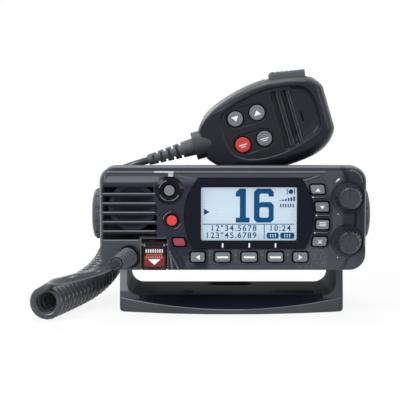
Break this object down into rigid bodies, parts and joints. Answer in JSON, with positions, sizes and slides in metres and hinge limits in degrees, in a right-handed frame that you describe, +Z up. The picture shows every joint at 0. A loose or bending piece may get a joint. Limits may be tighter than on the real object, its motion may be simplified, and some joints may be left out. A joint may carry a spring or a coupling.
{
  "type": "marine vhf radio",
  "caption": "Fixed-mount marine VHF radio on a tilting gimbal bracket, with a lit display, push keys, two knobs, a guarded distress key and a fist microphone on a curly cord.",
  "frame": {"origin": "on the surface that the bracket stands on, below the tilt axis and midway between the arms", "axes": "+X to the user's right, +Y away from the user (the panel faces -Y), +Z up"},
  "size_m": [0.2003, 0.1508, 0.1424],
  "materials": {
    "housing": "fine grain",
    "cast_case": "satin black paint on die-cast aluminium",
    "bracket_plastic": "fine grain",
    "seal_rubber": "matte",
    "gloss_black": "high gloss",
    "clear_window": "clear",
    "screen": "lit display",
    "circuit_board": "green board",
    "dark_trim": "matte",
    "knob_rubber": "satin",
    "steel": "brushed",
    "nickel": "nickel plated",
    "grey_keys": "satin",
    "red_keys": "satin",
    "pink_keys": "satin",
    "red_cover": "translucent red",
    "cord_jacket": "satin"
  },
  "bodies": {
    "bracket": {"mounting_bracket": "bracket_plastic", "cord_lead": "cord_jacket", "cord_coil": "cord_jacket"},
    "radio": {"front_panel": "housing", "rear_chassis": "cast_case", "panel_seal": "seal_rubber", "panel_screws": "steel", "display_surround": "gloss_black", "display_window": "clear_window", "lcd_module": "screen", "keypad_mat": "seal_rubber", "control_board": "circuit_board", "main_board": "circuit_board", "speaker": "housing", "scan_key_collar": "gloss_black", "rotary_controls": "dark_trim", "antenna_socket": "nickel", "rear_lead_glands": "dark_trim", "tilt_washers": "seal_rubber", "distress_hinge_pin": "steel", "cord_gland": "dark_trim", "cord_strain_relief": "cord_jacket"},
    "left_gimbal": {"left_gimbal_knob": "knob_rubber", "left_gimbal_stud": "steel"},
    "right_gimbal": {"right_gimbal_knob": "knob_rubber", "right_gimbal_stud": "steel"},
    "volume_dial": {"volume_knob": "knob_rubber", "volume_shaft": "steel"},
    "squelch_dial": {"squelch_knob": "knob_rubber", "squelch_shaft": "steel"},
    "distress_lid": {"distress_cover": "red_cover"},
    "distress_push": {"distress_key": "red_keys"},
    "microphone": {"mic_front_shell": "housing", "mic_rear_shell": "housing", "mic_seam_seal": "seal_rubber", "mic_collar": "dark_trim", "mic_strain_relief": "cord_jacket", "mic_board": "circuit_board", "mic_speaker": "dark_trim", "mic_capsule": "dark_trim", "mic_hanger_button": "dark_trim", "mic_screws": "steel", "cord_tail": "cord_jacket"},
    "talk_bar": {"ptt_button": "grey_keys"},
    "up_key_push": {"up_key": "grey_keys"},
    "down_key_push": {"down_key": "grey_keys"},
    "menu_key_push": {"menu_key": "grey_keys"},
    "clear_key_push": {"clear_key": "grey_keys"},
    "pink_key_push": {"pink_key": "pink_keys"},
    "left_key_push": {"left_key": "grey_keys"},
    "first_soft_key_push": {"first_soft_key": "grey_keys"},
    "second_soft_key_push": {"second_soft_key": "grey_keys"},
    "third_soft_key_push": {"third_soft_key": "grey_keys"},
    "right_key_push": {"right_key": "grey_keys"},
    "scan_key_push": {"scan_key": "grey_keys"},
    "red_key_push": {"red_key": "red_keys"},
    "mic_down_key_push": {"mic_down_key": "grey_keys"},
    "mic_up_key_push": {"mic_up_key": "grey_keys"},
    "mic_red_key_push": {"mic_red_key": "red_keys"},
    "mic_grey_key_push": {"mic_grey_key": "grey_keys"}
  },
  "joints": [
    {"name": "tilt", "type": "hinge", "parent": "bracket", "child": "radio", "pos_m": [0, 0, 0.0562], "axis": [1, 0, 0], "range_deg": [-20, 20], "deforming": ["cord_lead"]},
    {"name": "left_knob_turn", "type": "hinge", "parent": "bracket", "child": "left_gimbal", "pos_m": [-0.07, 0, 0.0562], "axis": [-1, 0, 0], "range_deg": [0, 360]},
    {"name": "right_knob_turn", "type": "hinge", "parent": "bracket", "child": "right_gimbal", "pos_m": [0.07, 0, 0.0562], "axis": [1, 0, 0], "range_deg": [0, 360]},
    {"name": "volume_turn", "type": "hinge", "parent": "radio", "child": "volume_dial", "pos_m": [0.0643, -0.05, 0.0697], "axis": [0, -1, 0], "range_deg": [-150, 150]},
    {"name": "squelch_turn", "type": "hinge", "parent": "radio", "child": "squelch_dial", "pos_m": [0.0643, -0.05, 0.0452], "axis": [0, -1, 0], "range_deg": [-150, 150]},
    {"name": "distress_cover_open", "type": "hinge", "parent": "radio", "child": "distress_lid", "pos_m": [-0.0442, -0.0437, 0.0427], "axis": [-1, 0, 0], "range_deg": [0, 100], "stiffness_Nm_per_rad": 0.002, "springref_deg": -28.65},
    {"name": "distress_press", "type": "slide", "parent": "radio", "child": "distress_push", "axis": [0, 1, 0], "range_m": [0, 0.001], "stiffness_N_per_m": 1500, "springref_m": -0.0005},
    {"name": "microphone_lift", "type": "slide", "parent": "radio", "child": "microphone", "axis": [0, 0, 1], "range_m": [0, 0.08], "deforming": ["cord_tail"]},
    {"name": "talk_press", "type": "slide", "parent": "microphone", "child": "talk_bar", "axis": [0.0958, 0, -0.9954], "range_m": [0, 0.0015], "stiffness_N_per_m": 1500, "springref_m": -0.0008},
    {"name": "up_key_press", "type": "slide", "parent": "radio", "child": "up_key_push", "axis": [0, 1, 0], "range_m": [0, 0.001], "stiffness_N_per_m": 1500, "springref_m": -0.0005},
    {"name": "down_key_press", "type": "slide", "parent": "radio", "child": "down_key_push", "axis": [0, 1, 0], "range_m": [0, 0.001], "stiffness_N_per_m": 1500, "springref_m": -0.0005},
    {"name": "menu_key_press", "type": "slide", "parent": "radio", "child": "menu_key_push", "axis": [0, 1, 0], "range_m": [0, 0.001], "stiffness_N_per_m": 1500, "springref_m": -0.0005},
    {"name": "clear_key_press", "type": "slide", "parent": "radio", "child": "clear_key_push", "axis": [0, 1, 0], "range_m": [0, 0.001], "stiffness_N_per_m": 1500, "springref_m": -0.0005},
    {"name": "pink_key_press", "type": "slide", "parent": "radio", "child": "pink_key_push", "axis": [0, 1, 0], "range_m": [0, 0.001], "stiffness_N_per_m": 1500, "springref_m": -0.0005},
    {"name": "left_key_press", "type": "slide", "parent": "radio", "child": "left_key_push", "axis": [0, 1, 0], "range_m": [0, 0.001], "stiffness_N_per_m": 1500, "springref_m": -0.0005},
    {"name": "first_soft_key_press", "type": "slide", "parent": "radio", "child": "first_soft_key_push", "axis": [0, 1, 0], "range_m": [0, 0.001], "stiffness_N_per_m": 1500, "springref_m": -0.0005},
    {"name": "second_soft_key_press", "type": "slide", "parent": "radio", "child": "second_soft_key_push", "axis": [0, 1, 0], "range_m": [0, 0.001], "stiffness_N_per_m": 1500, "springref_m": -0.0005},
    {"name": "third_soft_key_press", "type": "slide", "parent": "radio", "child": "third_soft_key_push", "axis": [0, 1, 0], "range_m": [0, 0.001], "stiffness_N_per_m": 1500, "springref_m": -0.0005},
    {"name": "right_key_press", "type": "slide", "parent": "radio", "child": "right_key_push", "axis": [0, 1, 0], "range_m": [0, 0.001], "stiffness_N_per_m": 1500, "springref_m": -0.0005},
    {"name": "scan_key_press", "type": "slide", "parent": "radio", "child": "scan_key_push", "axis": [0, 1, 0], "range_m": [0, 0.001], "stiffness_N_per_m": 1500, "springref_m": -0.0005},
    {"name": "red_key_press", "type": "slide", "parent": "radio", "child": "red_key_push", "axis": [0, 1, 0], "range_m": [0, 0.001], "stiffness_N_per_m": 1500, "springref_m": -0.0005},
    {"name": "mic_down_key_press", "type": "slide", "parent": "microphone", "child": "mic_down_key_push", "axis": [0, 1, 0], "range_m": [0, 0.0008], "stiffness_N_per_m": 1500, "springref_m": -0.0005},
    {"name": "mic_up_key_press", "type": "slide", "parent": "microphone", "child": "mic_up_key_push", "axis": [0, 1, 0], "range_m": [0, 0.0008], "stiffness_N_per_m": 1500, "springref_m": -0.0005},
    {"name": "mic_red_key_press", "type": "slide", "parent": "microphone", "child": "mic_red_key_push", "axis": [0, 1, 0], "range_m": [0, 0.0008], "stiffness_N_per_m": 1500, "springref_m": -0.0005},
    {"name": "mic_grey_key_press", "type": "slide", "parent": "microphone", "child": "mic_grey_key_push", "axis": [0, 1, 0], "range_m": [0, 0.0008], "stiffness_N_per_m": 1500, "springref_m": -0.0005}
  ]
}
